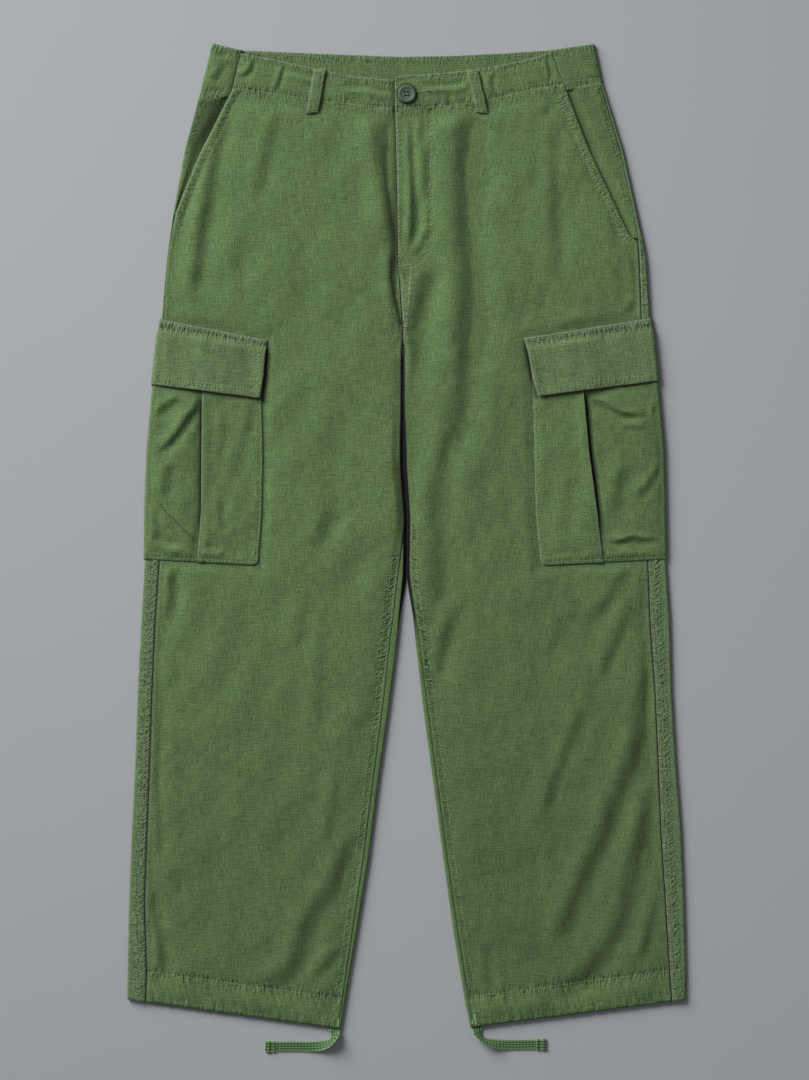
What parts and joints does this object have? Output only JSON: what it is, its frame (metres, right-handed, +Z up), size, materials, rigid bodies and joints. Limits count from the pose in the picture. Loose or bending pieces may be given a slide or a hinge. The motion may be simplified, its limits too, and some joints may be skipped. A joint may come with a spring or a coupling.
{
  "type": "cargo trousers",
  "caption": "Straight-leg cargo trousers laid flat, front up, with slanting hand pockets, flapped side pockets, button waistband and drawcord hems.",
  "frame": {"origin": "on the table, under the middle of the garment's outline (its drawcords left out)", "axes": "+Y from the hems towards the waist, +Z up out of the table towards the garment's front, +X towards the wearer's left"},
  "size_m": [0.6138, 1.1093, 0.0099],
  "materials": {
    "cloth": "matt coarse plain weave, leaf green",
    "cloth_inside": "matt coarse plain weave, wrong side",
    "tape": "matt ribbed tape, bluer green",
    "button": "dull dark grey-green"
  },
  "bodies": {
    "root": {"front_right": "cloth", "front_left": "cloth", "back_right": "cloth", "back_left": "cloth", "pocket_facing_right": "cloth", "pocket_facing_left": "cloth", "waistband_front_right": "cloth", "waistband_front_left": "cloth", "waistband_back": "cloth_inside", "belt_loop_right": "cloth", "belt_loop_left": "cloth", "cargo_pocket_right": "cloth", "cargo_pocket_left": "cloth", "cargo_pleat_right": "cloth", "cargo_pleat_left": "cloth", "cargo_flap_right": "cloth", "cargo_flap_left": "cloth", "button": "button", "drawcord_right": "tape", "drawcord_left": "tape", "drawcord_end_right": "tape", "drawcord_end_left": "tape"}
  },
  "joints": []
}
